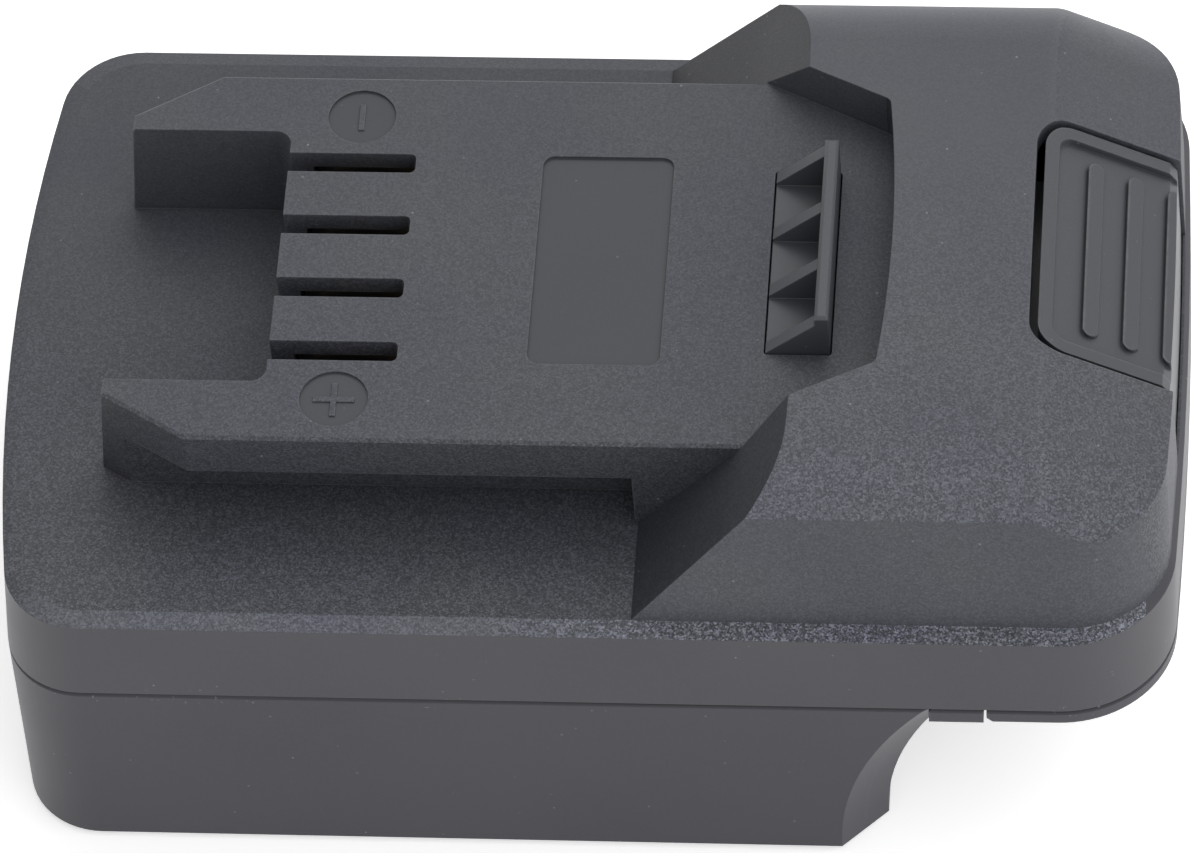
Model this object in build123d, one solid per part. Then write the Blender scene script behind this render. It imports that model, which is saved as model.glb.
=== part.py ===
from build123d import *
import os
from math import cos, radians, sin, sqrt, tan

# Slide-on battery adapter: the tool slides on to the rails on top, and a pack
# slides into the channel underneath from the button end. X runs from the
# terminal end to the button end, Y across, Z up from the face that it stands on.
# All lengths are in millimetres and all angles in degrees.

# Whole adapter
overall_length = 119.0
overall_width = 74.0
skirt_height = 24.2
case_height = 11.5
wall = 2.4
roof = 2.2
overrun = 20.0
fit_gap = 0.3
screw_gap = 0.05

# Case outline from above
terminal_end_bulge = 3.2
button_end_bulge = 1.1
terminal_corner_radius = 8.0
button_corner_radius = 11.5
terminal_end_lean = 0.75
deck_band_width = 1.9
deck_band_height = 0.5
parting_bevel = 0.3
tongue_width = 1.0
tongue_height = 1.2
tongue_gap = 0.2

# Tool rails
rail_setback = 12.6
rail_width = 46.3
rail_height = 12.6
rail_edge_bevel = 0.3
rail_lean = 1.0
lip_thickness = 5.35
groove_depth = 4.15
post_length = 1.1
tip_length = 8.6
tip_step = 5.25
notch_width = 31.9
notch_length = 16.1
notch_radius = 1.6
nub_length = 4.4
nub_width = 0.9
nub_height = 0.9
nub_setback = 19.5
label_length = 13.1
label_width = 26.4
label_radius = 1.2
label_depth = 0.3
label_setback = 12.85
mark_setback = 6.95
mark_offset = 18.0
mark_radius = 3.4
mark_depth = 0.25
mark_rise = 0.15
mark_line_width = 0.6
plus_length = 4.1
minus_length = 3.3

# Terminal slots
terminal_count = 4
terminal_pitch = 8.0
slot_width = 2.4
slot_length = 12.8
slot_radius = 0.6

# Raised block
block_length = 53.65
block_height = 18.4
block_front_angle = 49.4
block_side_draft = 10.1
block_end_draft = 1.7
block_end_margin = 0.5
block_corner_radius = 10.0
crown_setback = 12.7
crown_rise = 0.5
shoulder_width = 8.0
shoulder_drop = 3.9
slope_length = 13.5
slope_angle = 28.2
crease_radius = 4.0

# Pocket behind the latch
pocket_length = 12.95
pocket_back_width = 33.2
pocket_back_bulge = 0.95
pocket_corner_radius = 1.0

# Latch
latch_opening_setback = 1.5
latch_opening_length = 6.7
latch_opening_width = 23.2
latch_travel = 5.8
latch_gap = 0.15
hook_rise = 5.6
hook_plate_thickness = 1.4
hook_ramp_drop = 0.9
hook_floor_drop = 0.3
hook_edge_bevel = 0.3
hook_rib_count = 4
hook_rib_width = 1.35
carrier_width = 25.8
carrier_thickness = 2.5
carrier_front_reach = 1.6
carrier_rear_margin = 5.5
guide_setback = 4.5
guide_length = 3.0
guide_width = 2.0
guide_bite = 1.2
guide_height = 18.0

# Release button
button_opening_length = 15.15
button_opening_width = 29.2
button_opening_radius = 3.4
button_front_gap = 0.85
button_side_gap = 0.5
button_sink = 0.3
button_wall = 2.0
button_rim = 1.4
button_panel_depth = 0.8
button_ridge_count = 3
button_ridge_pitch = 3.9
button_ridge_setback = 5.9
button_ridge_length = 21.7
button_ridge_width = 1.5
button_ridge_height = 0.5
button_skirt_overlap = 1.2
button_end_skin = 0.8
button_skin_gap = 0.1
button_end_bevel = 0.8
button_leg_length = 3.0
button_leg_width = 5.0
button_leg_offset = 8.5
button_leg_setback = 4.0
button_peg_radius = 1.3
button_peg_length = 4.0

# Springs
spring_offset = 8.5
spring_setback = 1.0
spring_radius = 2.7
spring_wire = 0.6
spring_turn_count = 5
spring_steps = 12
spring_sides = 4
spigot_radius = 1.9
spigot_height = 2.5

# Cover under the button end
cover_length = 19.0
cover_thickness = 1.6
cover_bevel = 0.6
flange_thickness = 1.8
cover_screw_setback = 8.0
cover_screw_offset = 24.0
cover_boss_height = 3.0

# Channel for the battery pack
channel_setback = 19.5
channel_neck_width = 39.6
channel_lip_width = 48.4
channel_lip_floor = 5.5
channel_roof = 16.0
channel_lead_in = 1.5
skirt_end_setback = 29.5
skirt_end_radius = 29.0
skirt_end_height = 1.5
skirt_corner_bevel = 4.5
skirt_edge_bevel = 0.8
catch_setback = 4.0
catch_length = 7.0
catch_width = 20.0
catch_depth = 5.0

# Screws and their bosses
screw_radius = 1.5
screw_head_radius = 2.8
screw_head_height = 2.0
screw_sides = 12
socket_sides = 6
boss_radius = 3.7
case_screw_length = 19.0
case_screw_seat = 11.0
end_screw_setback = 10.0
end_screw_offset = 24.0
side_screw_setback = 39.5
side_screw_inset = 6.5
small_screw_radius = 1.1
small_head_radius = 2.1
small_head_height = 1.5
small_screw_length = 8.0
small_boss_radius = 2.9

# Tool terminal holder and its clips
holder_length = 12.8
holder_width = 32.8
holder_slot_width = 4.0
holder_floor = 2.5
holder_slot_rise = 1.6
holder_corner = 1.0
holder_back = 1.8
holder_flange_length = 7.0
holder_screw_offset = 9.0
clip_thickness = 0.5
clip_mouth_width = 2.6
clip_throat_width = 0.7
clip_spine_width = 3.0
clip_height = 7.0
clip_mouth_length = 3.0
clip_arm_length = 6.0
clip_tail_length = 3.5
clip_tail_width = 2.0

# Battery terminal block and its blades
block_window_setback = 7.0
block_window_length = 11.6
block_window_width = 28.4
block_body_drop = 9.5
block_side_reach = 3.0
block_flange_thickness = 2.6
block_flange_reach = 3.0
block_screw_offset = 10.0
block_screw_setback = 4.5
block_corner = 1.0
blade_thickness = 0.8
blade_height = 6.0
blade_reach = 12.0
blade_tip_bevel = 1.0
blade_tail_width = 3.0
blade_tail_rise = 1.5
blade_floor = 1.5
blade_tail_setback = 1.5

# Inside leads
power_lead_radius = 1.2
signal_lead_radius = 0.7
lead_run_rise = 6.0
lead_sides = 8

# Places worked out from the sizes above
terminal_end = -overall_length / 2
button_end = overall_length / 2
half_width = overall_width / 2
parting_z = skirt_height
deck_z = parting_z + case_height
plateau_z = deck_z + rail_height
lip_z = plateau_z - lip_thickness
crown_z = deck_z + block_height
rail_start = terminal_end + rail_setback
half_rail = rail_width / 2
notch_end = rail_start + notch_length
block_foot = button_end - block_length
groove_end = block_foot - fit_gap
front_run = 1 / tan(radians(block_front_angle))
pocket_start = block_foot + rail_height * front_run
pocket_end = pocket_start + pocket_length
crease_x = button_end - slope_length
latch_start = pocket_start + latch_opening_setback
latch_end = latch_start + latch_opening_length
button_start = button_end - button_opening_length
carrier_top = plateau_z - roof - fit_gap
carrier_bottom = carrier_top - carrier_thickness
cover_start = button_end - cover_length
spring_x = button_start + spring_setback
channel_start = terminal_end + channel_setback
channel_top = channel_roof + wall
window_start = channel_start + block_window_setback
window_end = window_start + block_window_length
skirt_end = button_end - skirt_end_setback
terminal_places = [(row - (terminal_count - 1) / 2) * terminal_pitch for row in range(terminal_count)]
end_screw_places = [(terminal_end + end_screw_setback, side * end_screw_offset) for side in (-1, 1)]
side_screw_x = button_end - side_screw_setback
side_screw_places = [(side_screw_x, side * (half_width - side_screw_inset)) for side in (-1, 1)]
cover_screw_places = [(button_end - cover_screw_setback, side * cover_screw_offset) for side in (-1, 1)]
holder_start = notch_end + roof + fit_gap
holder_end = holder_start + holder_length
holder_top = plateau_z - roof - fit_gap
clip_low = holder_top - holder_slot_rise - clip_height
holder_base = clip_low - holder_floor
holder_screw_x = holder_end + holder_flange_length / 2
block_screw_x = channel_start - wall - block_screw_setback
spine_x = holder_end - holder_back - clip_thickness
blade_low = channel_roof - block_body_drop + blade_floor
blade_tail_top = channel_top + block_flange_thickness + blade_tail_rise
blade_tail_x = window_start + fit_gap + blade_tail_setback
spring_places = [(spring_x, side * spring_offset) for side in (-1, 1)]
holder_screw_places = [(holder_screw_x, side * holder_screw_offset) for side in (-1, 1)]
block_screw_places = [(block_screw_x, side * block_screw_offset) for side in (-1, 1)]
button_inset = button_end_skin + button_skin_gap - block_end_margin
button_peg_x = button_start + button_leg_setback + button_leg_length / 2
button_peg_places = [(button_peg_x, side * button_leg_offset) for side in (-1, 1)]
carrier_end = button_end - carrier_rear_margin


def block_of(low, high):
    """Box between its lowest and its highest corner."""
    size = [b - a for a, b in zip(low, high)]
    centre = [(a + b) / 2 for a, b in zip(low, high)]
    return Pos(*centre) * Box(*size)


def post(x, y, low, high, radius):
    """Upright cylinder between two levels."""
    return Pos(x, y, (low + high) / 2) * Cylinder(radius, high - low)


def lifted(face, low, high):
    """Flat face drawn in plan, raised from one level to another."""
    return Pos(0, 0, low) * extrude(face, amount=high - low)


def side_prism(points, half_depth):
    """Outline in X and Z, carried across Y on both sides of the middle."""
    face = Plane.XZ * make_face(Polyline([*points, points[0]]))
    return extrude(face, amount=half_depth, both=True)


def case_plan(side_inset, terminal_inset, button_inset, terminal_radius, button_radius):
    """Outline of the case from above, drawn in at the sides and at each end."""
    start = terminal_end + terminal_inset
    end = button_end - button_inset
    side = half_width - side_inset
    left = start + terminal_end_bulge
    right = end - button_end_bulge
    edges = [
        ThreePointArc((left, -side), (start, 0), (left, side)),
        Line((left, side), (right, side)),
        ThreePointArc((right, side), (end, 0), (right, -side)),
        Line((right, -side), (left, -side)),
    ]
    face = make_face(edges)
    face = fillet(face.vertices().group_by(Axis.X)[0], terminal_radius)
    return fillet(face.vertices().group_by(Axis.X)[-1], button_radius)


def inset_plan(inset, lean=0):
    """Case outline drawn in by the same distance all round, and more where the terminal end leans."""
    return case_plan(inset, inset + lean, inset, terminal_corner_radius - inset, button_corner_radius - inset)


def case_form(inset, low, high, lean):
    """Straight-sided case between two levels, whose terminal end leans inwards."""
    foot = Pos(0, 0, low) * inset_plan(inset)
    head = Pos(0, 0, high) * inset_plan(inset, lean)
    return loft([foot, head], ruled=True)


def block_plan(rise, inset):
    """Outline of the raised block at a height over the deck."""
    side = deck_band_width + inset + rise * tan(radians(block_side_draft))
    end = block_end_margin + inset + rise * tan(radians(block_end_draft))
    radius = block_corner_radius - inset / 2
    return case_plan(side, end, end, radius, radius)


def block_form(inset, sink):
    """Raised block as one solid, with its skin moved in by inset and down by sink."""
    foot_z = deck_z - wall
    head_z = crown_z + wall
    foot = Pos(0, 0, foot_z) * block_plan(foot_z - deck_z, inset)
    head = Pos(0, 0, head_z) * block_plan(head_z - deck_z, inset)
    drafted = loft([foot, head], ruled=True)
    reach = head_z - foot_z
    start = block_foot + inset * sqrt(1 + front_run**2) + (foot_z - deck_z) * front_run
    front = side_prism([
        (start, foot_z),
        (start + reach * front_run, head_z),
        (button_end + overrun, head_z),
        (button_end + overrun, foot_z),
    ], half_width)
    return drafted & front & crowned_top(crown_z - sink, foot_z)


def crowned_top(top, low):
    """Everything under the crowned top and its shoulders, level and then falling to the button."""
    half_crown = half_width - crown_setback
    crown = ThreePointArc((-half_crown, top - crown_rise), (0, top), (half_crown, top - crown_rise))
    edge = (half_crown + shoulder_width, top - crown_rise - shoulder_drop)
    shoulder = TangentArc(crown @ 1, edge, tangent=crown % 1)
    fall = shoulder % 1
    floor = low - overrun
    out = (edge[0] + (floor - edge[1]) * fall.X / fall.Y, floor)
    side = [shoulder, Line(edge, out)]
    mirrored = [mirror(edge_line, Plane.YZ) for edge_line in side]
    section = make_face([crown, *side, *mirrored, Line(out, (-out[0], floor))])
    upright = Plane(origin=(crease_x, 0, 0), x_dir=(0, 1, 0), z_dir=(1, 0, 0)) * section
    level = extrude(upright, amount=-(crease_x - terminal_end))
    downhill = Vector(cos(radians(slope_angle)), 0, -sin(radians(slope_angle)))
    body = level + extrude(upright, amount=slope_length + overrun, dir=downhill)
    at_crease = [line for line in body.edges() if abs(line.position_at(0.5).X - crease_x) < wall]
    crease = [line for line in at_crease if abs(line.position_at(0.5).Y) < half_crown and line.center().Z > low]
    return fillet(crease, crease_radius)


def pocket_plan(grow):
    """Outline of the pocket that the tool's catch drops into."""
    mouth = half_rail + grow
    back = pocket_back_width / 2 + grow
    end = pocket_end + grow
    face = make_face([
        Line((pocket_start - overrun, mouth), (pocket_start, mouth)),
        Line((pocket_start, mouth), (end, back)),
        ThreePointArc((end, back), (end + pocket_back_bulge, 0), (end, -back)),
        Line((end, -back), (pocket_start, -mouth)),
        Line((pocket_start, -mouth), (pocket_start - overrun, -mouth)),
        Line((pocket_start - overrun, -mouth), (pocket_start - overrun, mouth)),
    ])
    return fillet(face.vertices().group_by(Axis.X)[-1], pocket_corner_radius)


def button_plan(front_gap, side_gap):
    """Outline of the button's place, open at the button end."""
    start = button_start + front_gap
    half = button_opening_width / 2 - side_gap
    end = button_end + overrun
    face = make_face(Polyline([(start, -half), (end, -half), (end, half), (start, half), (start, -half)]))
    return fillet(face.vertices().group_by(Axis.X)[0], button_opening_radius - side_gap)


def rails():
    """Plateau with its two tips and the grooves that the tool's rails run in."""
    start = rail_start - rail_lean
    tip = half_rail - tip_step * (1 + rail_lean / tip_length)
    end = pocket_start + wall
    face = make_face(Polyline([
        (start, -tip),
        (rail_start + tip_length, -half_rail),
        (end, -half_rail),
        (end, half_rail),
        (rail_start + tip_length, half_rail),
        (start, tip),
        (start, -tip),
    ]))
    body = lifted(face, deck_z - wall, plateau_z)
    body &= side_prism([
        (start, deck_z - wall),
        (start, deck_z),
        (rail_start, plateau_z),
        (end, plateau_z),
        (end, deck_z - wall),
    ], half_width)
    rim = [edge for edge in body.edges().group_by(Axis.Z)[-1] if edge.center().X < end - wall]
    body = chamfer(rim, rail_edge_bevel)
    for side in (-1, 1):
        inner = half_rail - groove_depth
        near, far = sorted((side * inner, side * half_width))
        body -= block_of((rail_start + post_length, near, deck_z), (groove_end, far, lip_z))
        near, far = sorted((side * inner, side * (inner + nub_width)))
        nub = rail_start + nub_setback
        body += block_of((nub, near, lip_z - nub_height), (nub + nub_length, far, lip_z))
    notch = Pos(rail_start, 0, 0) * Rectangle(2 * notch_length, notch_width)
    notch = fillet(notch.vertices(), notch_radius)
    return body - lifted(notch, deck_z, plateau_z + wall)


def terminal_slots(width, start, end, low, high):
    """One long space for each terminal, closed by a rounded end."""
    spaces = Part()
    for place in terminal_places:
        face = Pos((start + end) / 2, place) * Rectangle(end - start, width)
        face = fillet(face.vertices().group_by(Axis.X)[-1], slot_radius)
        spaces += lifted(face, low, high)
    return spaces


def polarity_discs():
    """Shallow round spaces beside the slots, round a raised plus and minus."""
    floor = plateau_z - mark_depth
    x = notch_end + mark_setback
    discs = Part()
    for side, length, turns in ((-1, plus_length, (0, 90)), (1, minus_length, (90,))):
        disc = post(x, side * mark_offset, floor, plateau_z + wall, mark_radius)
        for turn in turns:
            line = Pos(x, side * mark_offset) * Rot(0, 0, turn) * Rectangle(length, mark_line_width)
            disc -= lifted(line, floor, floor + mark_rise)
        discs += disc
    return discs


def shell_cavity():
    """Space inside the top shell."""
    low = case_form(wall, parting_z - wall, deck_z - roof, terminal_end_lean)
    side = half_rail - groove_depth - roof
    under_rail = block_of((notch_end + roof, -side, parting_z), (pocket_end, side, plateau_z - roof))
    keep = lifted(pocket_plan(wall), plateau_z - roof, crown_z + overrun)
    return low + under_rail + (block_form(wall, roof) - keep)


def shell_base():
    """Outside of the top shell up to the deck, with a bevel at the parting line and a sloping band at the deck."""
    terminal_inset = terminal_end_lean + deck_band_width
    radii = (terminal_corner_radius - deck_band_width, block_corner_radius)
    sections = [
        (parting_z, inset_plan(parting_bevel)),
        (parting_z + parting_bevel, inset_plan(0)),
        (deck_z - deck_band_height, inset_plan(0, terminal_end_lean)),
        (deck_z, case_plan(deck_band_width, terminal_inset, block_end_margin, *radii)),
    ]
    return loft([Pos(0, 0, level) * face for level, face in sections], ruled=True)


def top_shell():
    """Upper half of the case, with the rails, the raised block and its openings."""
    block = block_form(0, 0) - lifted(pocket_plan(0), plateau_z, crown_z + overrun)
    outer = shell_base() + block + rails()
    body = outer - shell_cavity()
    rebate_top = parting_z + tongue_height + tongue_gap
    body -= lifted(inset_plan(wall - tongue_width - tongue_gap), parting_z - wall, rebate_top)
    body += shell_bosses() & outer
    body -= shell_screw_holes()
    body -= terminal_slots(slot_width, notch_end - wall, notch_end + slot_length, deck_z, plateau_z + wall)
    label = Rectangle(label_length, label_width)
    label_x = notch_end + slot_length + label_setback + label_length / 2
    label = Pos(label_x, 0) * fillet(label.vertices(), label_radius)
    body -= lifted(label, plateau_z - label_depth, plateau_z + wall)
    body -= polarity_discs()
    middle = (latch_start + latch_end) / 2
    opening = Pos(middle, 0) * Rectangle(latch_opening_length, latch_opening_width)
    opening = fillet(opening.vertices(), 2 * latch_gap)
    body -= lifted(opening, plateau_z - wall, plateau_z + wall)
    body -= lifted(button_plan(0, 0), deck_z, crown_z + overrun)
    half = button_opening_width / 2
    recess = lifted(inset_plan(button_end_skin), deck_z - button_skirt_overlap - latch_travel - fit_gap, deck_z)
    body -= recess & block_of((button_start, -half, parting_z), (button_end, half, deck_z))
    return body


def shell_bosses():
    """Screw bosses and latch guides that hang from the roof of the top shell."""
    bosses = Part()
    for x, y in end_screw_places + side_screw_places:
        bosses += post(x, y, parting_z + tongue_gap, crown_z, boss_radius)
    for x, y in cover_screw_places:
        bosses += post(x, y, parting_z + cover_boss_height, crown_z, boss_radius)
    for x, y in holder_screw_places:
        bosses += post(x, y, clip_low, plateau_z - roof / 2, small_boss_radius)
    for side in (-1, 1):
        inner = carrier_width / 2 - guide_bite + latch_gap
        near, far = sorted((side * inner, side * (inner + guide_width)))
        start = latch_end + guide_setback
        low = carrier_top - guide_height
        bosses += block_of((start, near, low), (start + guide_length, far, plateau_z - roof / 2))
    return bosses


def shell_screw_holes():
    """Pilot holes for the screws that reach into the top shell."""
    holes = Part()
    for x, y in end_screw_places + side_screw_places:
        holes += post(x, y, parting_z, case_screw_seat + case_screw_length + wall, screw_radius + screw_gap)
    radius = small_screw_radius + screw_gap
    for x, y in cover_screw_places:
        holes += post(x, y, parting_z, parting_z + small_screw_length + fit_gap, radius)
    for x, y in holder_screw_places:
        holes += post(x, y, clip_low, holder_base + small_screw_length + fit_gap, radius)
    return holes


def skirt_space(offset):
    """Space under the button end, behind the hollow end curve of the skirt."""
    start = skirt_end - offset
    radius = skirt_end_radius + offset
    low = Line((start, -overrun), (start, skirt_end_height))
    rise = parting_z - skirt_end_height
    reach = start + radius - sqrt(radius**2 - rise**2)
    curve = TangentArc((start, skirt_end_height), (reach, parting_z), tangent=(0, 1))
    far = button_end + overrun
    top = parting_z + overrun
    rest = Polyline([(reach, parting_z), (reach, top), (far, top), (far, -overrun), (start, -overrun)])
    face = Plane.XZ * make_face([low, curve, rest])
    return extrude(face, amount=overall_width, both=True)


def skirt_outer():
    """Outside of the lower shell, with its flange under the button end."""
    body = lifted(inset_plan(0), 0, parting_z) - skirt_space(0)
    corners = [edge for edge in body.edges() if abs(edge.position_at(0.5).Y) > half_width - wall / 2]
    corners = [edge for edge in corners if edge.position_at(0.5).X >= skirt_end and edge.length < overall_width / 2]
    body = chamfer(corners, skirt_corner_bevel)
    body = chamfer(body.edges().group_by(Axis.Z)[0], skirt_edge_bevel)
    flange = lifted(inset_plan(0), parting_z - flange_thickness, parting_z)
    body += flange & block_of((skirt_end + 2 * wall, -overall_width, 0), (button_end, overall_width, parting_z))
    end = cover_start - fit_gap
    body &= block_of((terminal_end - wall, -overall_width, -wall), (end, overall_width, parting_z + wall))
    rim = [edge for edge in body.edges().group_by(Axis.Z)[-1] if edge.center().X < cover_start - wall / 2]
    return chamfer(rim, parting_bevel)


def tongue(start, end):
    """Raised rib that centres the shells on each other, between two places in X."""
    top = parting_z + tongue_height
    ring = lifted(inset_plan(wall - tongue_width), parting_z - wall / 2, top)
    ring -= lifted(inset_plan(wall), 0, top + wall)
    return ring & block_of((start, -half_width, 0), (end, half_width, top))


def channel():
    """Space for the battery pack's rails, open at the bottom and the button end."""
    body = lifted(channel_plan(channel_neck_width / 2), -wall, channel_roof)
    return body + lifted(channel_plan(channel_lip_width / 2), channel_lip_floor, channel_roof)


def channel_plan(half):
    """Outline of the channel from above, with a lead-in at its open end."""
    lead_in = skirt_end - channel_lead_in
    spread = half + button_end - lead_in
    return make_face(Polyline([
        (channel_start, -half),
        (lead_in, -half),
        (button_end, -spread),
        (button_end, spread),
        (lead_in, half),
        (channel_start, half),
        (channel_start, -half),
    ]))


def lower_shell():
    """Lower half of the case, with the channel for the battery pack."""
    outer = skirt_outer()
    lip = channel_lip_width / 2
    walls = block_of((channel_start - wall, -lip - wall, 0), (button_end, lip + wall, channel_top))
    catch_end = skirt_end - catch_setback
    catch_low = (catch_end - catch_length, -catch_width / 2, channel_roof - wall)
    catch_high = (catch_end, catch_width / 2, channel_roof + catch_depth)
    walls += block_of([value - wall for value in catch_low], [value + wall for value in catch_high])
    inside = lifted(inset_plan(wall), wall, parting_z + wall) - walls
    inside -= skirt_space(wall)
    body = outer - inside
    for x, y in end_screw_places + side_screw_places:
        body += post(x, y, wall / 2, parting_z, boss_radius)
        body -= post(x, y, -wall, case_screw_seat, screw_head_radius + fit_gap)
        body -= post(x, y, 0, parting_z + wall, screw_radius + tongue_gap)
    for x, y in block_screw_places:
        body += post(x, y, wall / 2, channel_top, small_boss_radius)
        low = channel_top + block_flange_thickness - small_screw_length - fit_gap
        body -= post(x, y, low, parting_z, small_screw_radius + screw_gap)
    body -= channel()
    body -= block_of(catch_low, catch_high)
    half = block_window_width / 2
    body -= block_of((window_start, -half, channel_lip_floor), (window_end, half, channel_top + wall))
    return body + tongue(terminal_end, skirt_end)


def latch_cover():
    """Plate that closes the shell under the button and carries the springs."""
    low = parting_z - cover_thickness
    half = half_width
    plate = lifted(inset_plan(0), low, parting_z)
    plate &= block_of((cover_start, -half, low), (button_end, half, parting_z))
    rim = [edge for edge in plate.edges().group_by(Axis.Z)[-1] if edge.center().X > cover_start + wall]
    plate = chamfer(rim, parting_bevel)
    foot = [edge for edge in plate.edges().group_by(Axis.Z)[0] if edge.center().X < cover_start + wall / 2]
    plate = chamfer(foot, cover_bevel)
    plate += tongue(cover_start + wall, button_end)
    for x, y in spring_places:
        plate += post(x, y, low, parting_z + spigot_height, spigot_radius)
    for x, y in cover_screw_places:
        plate += post(x, y, low, parting_z + cover_boss_height - tongue_gap, boss_radius)
        plate -= post(x, y, low - wall, parting_z, small_head_radius + tongue_gap)
        plate -= post(x, y, low, parting_z + overrun, small_screw_radius + tongue_gap)
    return plate


def latch_hook():
    """Catch for the tool, on the carrier that the button pushes down."""
    start = latch_start + latch_gap
    end = latch_end - latch_gap
    half = latch_opening_width / 2 - latch_gap
    plate_x = end - hook_plate_thickness
    floor = plateau_z - hook_floor_drop
    top = plateau_z + hook_rise
    carrier_half = carrier_width / 2
    front = start - carrier_front_reach
    body = block_of((front, -carrier_half, carrier_bottom), (carrier_end, carrier_half, carrier_top))
    body += block_of((start, -half, carrier_bottom), (end, half, floor))
    plate = block_of((plate_x, -half, carrier_bottom), (end, half, top))
    body += chamfer(plate.edges().group_by(Axis.Z)[-1], hook_edge_bevel)
    pitch = (2 * half - hook_rib_width) / (hook_rib_count - 1)
    for row in range(hook_rib_count):
        rib = side_prism([
            (start, carrier_bottom),
            (start, plateau_z),
            (plate_x + hook_edge_bevel, top - hook_ramp_drop),
            (plate_x + hook_edge_bevel, carrier_bottom),
        ], hook_rib_width / 2)
        body += Pos(0, -half + hook_rib_width / 2 + row * pitch, 0) * rib
    guide = latch_end + guide_setback - latch_gap
    guide_stop = guide + guide_length + 2 * latch_gap
    for side in (-1, 1):
        near, far = sorted((side * (carrier_half - guide_bite), side * half_width))
        body -= block_of((guide, near, carrier_bottom - wall), (guide_stop, far, carrier_top + wall))
    for x, y in spring_places:
        body += post(x, y, carrier_bottom - spigot_height, carrier_bottom, spigot_radius)
    for x, y in button_peg_places:
        body -= post(x, y, carrier_bottom - wall, carrier_top + wall, button_peg_radius + screw_gap)
    return body


def release_button():
    """Push button with a recessed panel, grip ridges, legs and a long end skirt."""
    low = deck_z - button_skirt_overlap
    high = crown_z + wall
    plan = lifted(button_plan(button_front_gap, button_side_gap), low, high)
    body = block_form(button_inset, button_sink) & plan
    rim_front = button_front_gap + button_rim
    rim_side = button_side_gap + button_rim
    panel = lifted(button_plan(rim_front, rim_side), low, high)
    body -= panel - block_form(-button_inset, button_sink + button_panel_depth)
    at_end = [edge for edge in body.edges() if edge.center().X > button_end - slope_length / 4]
    brow = [edge for edge in at_end if edge.center().Z > carrier_top and abs(edge.tangent_at(0.5).Y) > sin(1)]
    body = chamfer(brow, button_end_bevel)
    hollow = button_plan(button_front_gap + button_wall, button_side_gap + button_wall)
    inner = block_form(button_inset + button_wall, button_sink + button_panel_depth + button_wall)
    inner &= lifted(hollow, low - wall, high)
    body -= inner
    skirt_x = button_end - button_end_skin - button_wall - wall
    half = button_opening_width / 2
    body -= block_of((button_start, -half, low - wall), (skirt_x, half, carrier_top + fit_gap))
    ridge_x = button_start + button_ridge_setback
    ridge_form = block_form(button_inset, button_sink + button_panel_depth - button_ridge_height)
    for row in range(button_ridge_count):
        place = Pos(ridge_x + row * button_ridge_pitch, 0) * Rot(0, 0, 90)
        ridge = lifted(place * SlotOverall(button_ridge_length, button_ridge_width), carrier_top, high)
        body += (ridge & ridge_form) - inner
    leg_form = block_form(button_inset, button_sink + button_panel_depth + button_wall / 2)
    for x, y in button_peg_places:
        half_length = button_leg_length / 2
        half_leg = button_leg_width / 2
        leg = block_of((x - half_length, y - half_leg, carrier_top), (x + half_length, y + half_leg, high))
        body += leg & leg_form
        body += post(x, y, carrier_top - button_peg_length, carrier_top, button_peg_radius)
    return body


def latch_spring(x, y):
    """Coil spring between the cover and the carrier."""
    height = carrier_bottom - parting_z - spring_wire
    mean_radius = spring_radius - spring_wire / 2
    step_count = spring_turn_count * spring_steps
    points = []
    for step in range(step_count + 1):
        angle = radians(360 * step / spring_steps)
        rise = parting_z + spring_wire / 2 + height * step / step_count
        points.append((mean_radius * cos(angle), mean_radius * sin(angle), rise))
    path = Polyline(points)
    section = Plane(path @ 0, z_dir=path % 0) * RegularPolygon(spring_wire / 2, spring_sides)
    return Pos(x, y, 0) * sweep(section, path=path, transition=Transition.RIGHT)


def screw(x, y, seat, length, radius, head_radius, head_height, up):
    """Self-tapping screw with a socket in its head, driven up or down from its seat."""
    shank = extrude(RegularPolygon(radius, screw_sides), amount=length)
    head = extrude(RegularPolygon(head_radius, screw_sides), amount=-head_height)
    head = chamfer(head.edges().group_by(Axis.Z)[0], head_height / 4)
    socket = RegularPolygon(head_radius / 2, socket_sides)
    body = shank + head - Pos(0, 0, -head_height) * extrude(socket, amount=head_height / 2)
    turn = Rot(0, 0, 0) if up else Rot(180, 0, 0)
    return Pos(x, y, seat) * turn * body


def screw_group(places, seat, length, radius, head_radius, head_height, up=True):
    """Identical screws as separate solids in one node."""
    screws = [screw(x, y, seat, length, radius, head_radius, head_height, up) for x, y in places]
    return Compound(children=screws)


def terminal_holder():
    """Insulating block that holds the clips under the slots."""
    half = holder_width / 2
    body = block_of((holder_start, -half, holder_base), (holder_end, half, holder_top))
    body = chamfer(body.edges().filter_by(Axis.Z), holder_corner)
    flange_half = holder_screw_offset + small_boss_radius
    flange_end = holder_end + holder_flange_length
    body += block_of((holder_end, -flange_half, holder_base), (flange_end, flange_half, clip_low))
    slot_end = holder_end - holder_back
    for place in terminal_places:
        side = holder_slot_width / 2
        high = holder_top + wall
        body -= block_of((holder_start - wall, place - side, clip_low), (slot_end, place + side, high))
        tail = clip_tail_width / 2 + tongue_gap
        low = (spine_x - tongue_gap, place - tail, holder_base - wall)
        body -= block_of(low, (spine_x + clip_thickness + tongue_gap, place + tail, clip_low))
    for x, y in holder_screw_places:
        body -= post(x, y, holder_base - wall, clip_low + wall, small_screw_radius + tongue_gap)
    return body


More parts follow.
